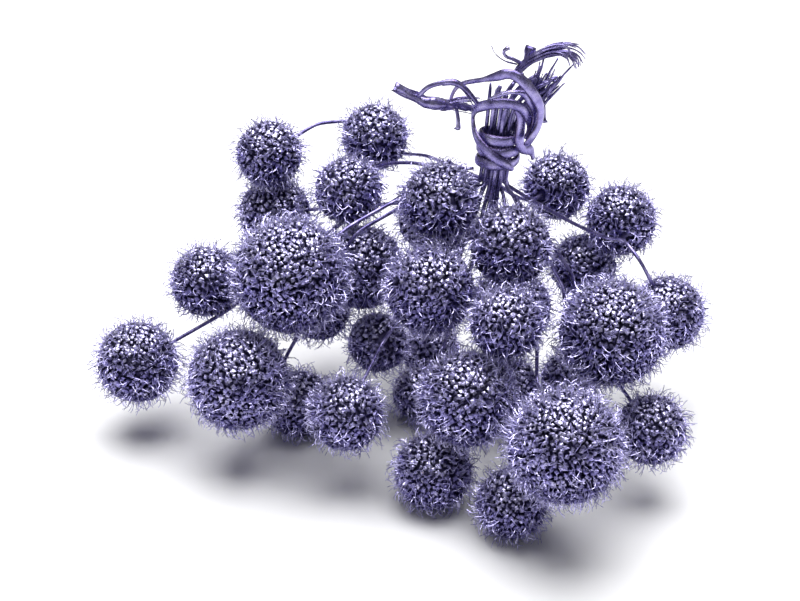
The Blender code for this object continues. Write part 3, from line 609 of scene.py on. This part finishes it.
bark_paint = bark_leather("violet bark paint")
for name, (first_width, width, way) in STRIP_WAYS.items():
    placings = strip_placings(way, first_width / width)
    bm = bmesh.new()
    along = bm.verts.layers.float.new("along")
    across = bm.verts.layers.float.new("across")
    section = bmesh.ops.create_circle(bm, cap_ends=True, segments=STRIP_SIDES, radius=1)["verts"]
    for vert in section:
        x, y = vert.co.x, vert.co.y
        vert[across] = x * width * GRAIN_ACROSS
        vert.co.x = math.copysign(abs(x) ** SECTION_POWER, x) * width * MM / 2
        vert.co.y = math.copysign(abs(y) ** SECTION_POWER, y) + STRIP_CROWN * (1 - x * x)
        vert.co.y *= STRIP_THICKNESS / 2
    face = section[0].link_faces[0]
    bmesh.ops.transform(bm, matrix=placings[0], verts=section)
    for step, (place, after) in enumerate(zip(placings, placings[1:]), 1):
        face = grow_from(bm, face, [place, after], step == 1)
        for vert in face.verts:
            vert[along] = step * GRAIN_ALONG
    bmesh.ops.recalc_face_normals(bm, faces=bm.faces)
    mesh = finished_mesh(bm, name + "_painted")
    mesh.shade_smooth()
    piece = painted_piece(name + "_painted", mesh, bark_paint)
    rounded(piece)
    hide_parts(name)
    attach(piece, "root")

# The woody ends.
# A knobbly stub of twig sticks out to the left, torn off short, and the stalks' own broken and
# frayed ends stand above the neck. Every rod is drawn along its own way and roughened like bark.
# A way's points are (right, back, height above the neck's foot), and radii are in millimetres too.
TWIG = ((-32.7, 0, 19.8), (-30.0, 0.1, 18.6), (-26.5, 0.4, 17.5), (-23.0, 0.8, 15.9),
        (-19.5, 1.8, 15.4), (-15.0, 3.6, 15.0), (-10.5, 5.2, 14.2), (-7.6, 6.2, 13.6))
TWIG_RADII = (1.6, 0.9, 1.1, 1.9, 2.0, 1.4, 1.1, 0.9)
TWIG_SHOOT = ((-26.0, 0.0, 17.8), (-23.5, -1.4, 21.6), (-19.6, -2.6, 23.9), (-16.4, -2.9, 24.6),
              (-13.4, -3.0, 23.4), (-10.8, -3.2, 21.2), (-8.4, -3.4, 18.6))
SHOOT_RADII = (0.75, 0.75, 0.8, 1.1, 0.9, 0.8, 0.7)
TWIG_STUB = ((-14.2, 3.2, 14.8), (-13.2, 2.0, 11.6), (-12.6, 1.6, 8.1))
TWIG_ROOT = ((-17.0, 2.6, 15.8), (-13.5, 3.2, 17.0), (-10.0, 3.6, 17.2), (-7.2, 4.0, 17.0))
FIBRES = ((2.3, -0.4, 29.6), (4.5, -1.0, 32.6), (7.0, -1.4, 34.9), (10.4, -1.7, 37.2),
          (13.8, -1.8, 38.3), (16.9, -1.8, 37.7), (18.8, -1.5, 35.3))
FIBRES_HOOK = ((9.6, -1.9, 35.8), (13.4, -2.2, 37.0), (16.6, -2.2, 36.8), (18.9, -2.0, 34.9),
               (19.2, -1.9, 32.6))
CUT_STUB = ((3.8, -0.8, 31.6), (4.4, 0.4, 33.8), (4.8, 1.2, 35.4), (5.1, 1.6, 36.6))
CUT_RIM, CUT_DEPTH = 0.45 * MM, 0.6 * MM
CURL = ((3.2, -0.8, 31.6), (0.2, -1.3, 33.1), (-2.3, -1.4, 33.8), (-3.0, -1.5, 35.4), (-1.6, -1.7, 36.6))
LOOSE_FIBRE = ((1.5, -1.0, 31.5), (-2.5, -1.2, 32.3), (-5.5, -1.2, 34.2), (-6.8, -1.2, 36.4))
BROKEN = ((9.8, 2.4, 16.5), (10.3, 1.6, 19.4), (11.1, 0.7, 22.0), (12.6, 0.0, 25.0), (13.8, -0.4, 27.6))
BROKEN_BEHIND = ((8.0, 2.6, 17.0), (8.4, 2.2, 21.0), (8.9, 1.8, 25.0), (9.8, 1.4, 29.0), (10.6, 1.0, 32.5))
BROKEN_BETWEEN = ((8.8, 1.5, 20.0), (9.6, 0.6, 24.0), (10.8, -0.2, 28.0), (12.4, -0.6, 31.6))
SPLINTER = ((10.8, 1.1, 21.2), (13.6, 1.4, 24.6), (15.8, 0.6, 29.4), (17.9, -0.6, 33.2))
HANGING = ((10.3, 1.6, 19.6), (11.4, 2.0, 18.8), (11.8, 1.4, 16.2), (12.2, 1.0, 13.6))
LEFT_CURL = ((-14.5, 1.5, -2.0), (-12.7, 1.6, -3.4), (-9.6, 1.8, -4.2), (-6.3, 2.0, -3.9))
ROD_SIDES, ROD_STEP = 8, 0.9
STRAND_SIDES, STRAND_STEP = 5, 1.3
STRAND_REACHES = (0.62, 1.0)              # the share of its way that a strand follows
STRAND_WIDTHS = (0.7, 1.3)                # as shares of the bundle's own
STRAND_TAPER = 0.45                       # a strand's end, as a share of its start
STRAND_WOBBLE = 0.06                      # as a share of the bundle's spread
BARK_RIDGES, BARK_GRIT = 2.2 * MM, 0.7 * MM     # the sizes of the coarse and fine roughness
TORN_LENGTHS, TORN_WIDTHS = (-0.4, 1), (-0.2, 0.5)
STRAND_SEED = 5


def rod(bm, places, radii, sides=ROD_SIDES, spacing=ROD_STEP):
    """A rod drawn without twisting through places beside the neck. Returns its ends."""
    line = smooth_line([tuple(place) + (radius,) for place, radius in zip(places, radii)], spacing)
    points = [beside_neck(*row[:3]) for row in line]
    ahead = (points[1] - points[0]).normalized()
    turn = facing(ahead)
    placings = []
    for number, point in enumerate(points):
        towards = (points[min(number + 1, len(points) - 1)] - points[max(number - 1, 0)]).normalized()
        turn = ahead.rotation_difference(towards).to_matrix().to_4x4() @ turn
        ahead = towards
        size = line[number, 3] * MM
        placings.append(Matrix.Translation(point) @ turn @ Matrix.Diagonal((size, size, size, 1)))
    start = bmesh.ops.create_circle(bm, cap_ends=True, segments=sides, radius=1)["verts"]
    face = start[0].link_faces[0]
    bmesh.ops.transform(bm, matrix=placings[0], verts=start)
    return start, grow_from(bm, face, placings)


def strands(bm, places, count, spread, radius, chance, stray=0.0):
    """A bundle of fine fibres that run side by side and part towards their free ends."""
    for _ in range(count):
        turn, off = chance.uniform(0, math.tau), spread * math.sqrt(chance.random())
        kept = max(3, round(chance.uniform(*STRAND_REACHES) * len(places)))
        points = []
        for number, place in enumerate(places[:kept]):
            share = number / (len(places) - 1)
            loose = off * (0.8 + 0.4 * share) + stray * share ** 3
            points.append((place[0] + math.cos(turn) * loose + chance.gauss(0, STRAND_WOBBLE * spread),
                           place[1] + math.sin(turn + 1.0) * loose,
                           place[2] + math.sin(turn) * loose + chance.gauss(0, STRAND_WOBBLE * spread)))
        width = radius * chance.uniform(*STRAND_WIDTHS)
        rod(bm, points, np.linspace(width, width * STRAND_TAPER, len(points)), STRAND_SIDES, STRAND_STEP)


def roughened(bm, coarse, fine):
    """Pushes a rod's surface in and out by millimetres, as ridged bark and broken wood are."""
    bm.normal_update()
    for vert in bm.verts:
        push = noise.noise(vert.co / BARK_RIDGES) * coarse + noise.noise(vert.co / BARK_GRIT) * fine
        vert.co += vert.normal * push * MM


def torn(verts, chance, depth):
    """Leaves a rod's end ragged."""
    centre = sum((vert.co for vert in verts), Vector()) / len(verts)
    out = (centre - neck).normalized()
    for vert in verts:
        ragged = out * chance.uniform(*TORN_LENGTHS) * depth * MM
        vert.co += ragged + (vert.co - centre) * chance.uniform(*TORN_WIDTHS)


def finish_woody(bm, name):
    """Turns a bmesh of rods into the piece that stands for one woody CAD node."""
    bmesh.ops.recalc_face_normals(bm, faces=bm.faces)
    mesh = finished_mesh(bm, name + "_painted")
    mesh.shade_smooth()
    piece = painted_piece(name + "_painted", mesh, wood_paint)
    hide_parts(name)
    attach(piece, "root")


wood_paint = violet_paint("violet paint on torn wood", (0.075, 0.060, 0.190, 1),
                          (0.230, 0.198, 0.440, 1), (0.520, 0.480, 0.760, 1), 0.26, 0.8)
chance = random.Random(STRAND_SEED)

bm = bmesh.new()
free_end, _ = rod(bm, TWIG, TWIG_RADII, 12, 0.7)
torn(free_end, chance, 1.4)
roughened(bm, 0.60, 0.34)
strands(bm, TWIG, 9, 1.3, 0.42, chance)
rod(bm, TWIG_SHOOT, SHOOT_RADII)
strands(bm, TWIG_SHOOT[2:], 7, 0.7, 0.3, chance, 0.6)
_, free_face = rod(bm, TWIG_STUB, (0.6, 0.65, 0.85))
torn(free_face.verts, chance, 0.5)
strands(bm, TWIG_ROOT, 6, 0.7, 0.28, chance)
finish_woody(bm, "woody_twig")

bm = bmesh.new()
strands(bm, FIBRES, 30, 1.5, 0.42, chance, 1.2)
strands(bm, FIBRES_HOOK, 9, 0.8, 0.4, chance, 0.3)
_, cut_face = rod(bm, CUT_STUB, (0.9, 1.1, 1.8, 1.6), 12)
bmesh.ops.inset_region(bm, faces=[cut_face], thickness=CUT_RIM)
bmesh.ops.translate(bm, verts=cut_face.verts, vec=-cut_face.normal * CUT_DEPTH)
rod(bm, CURL, (0.62, 0.56, 0.5, 0.52, 0.72), 7)
rod(bm, LOOSE_FIBRE, (0.28, 0.2, 0.16, 0.1), STRAND_SIDES)
roughened(bm, 0.10, 0.08)
finish_woody(bm, "frayed_fibres")

bm = bmesh.new()
strands(bm, BROKEN, 16, 2.2, 0.5, chance, 0.9)
rod(bm, BROKEN, (0.6, 0.8, 0.9, 0.8, 0.5), 9)
strands(bm, BROKEN_BEHIND, 16, 2.0, 0.55, chance, 1.0)
rod(bm, SPLINTER, (0.45, 0.42, 0.36, 0.2), 7)
strands(bm, BROKEN_BETWEEN, 8, 1.3, 0.34, chance, 0.8)
_, free_face = rod(bm, HANGING, (0.6, 0.65, 0.75, 1.0))
torn(free_face.verts, chance, 0.8)
roughened(bm, 0.12, 0.10)
finish_woody(bm, "broken_stalk_ends")

bm = bmesh.new()
rod(bm, LEFT_CURL, (0.6, 0.55, 0.55, 0.5))
roughened(bm, 0.08, 0.05)
finish_woody(bm, "curled_stalk_end")
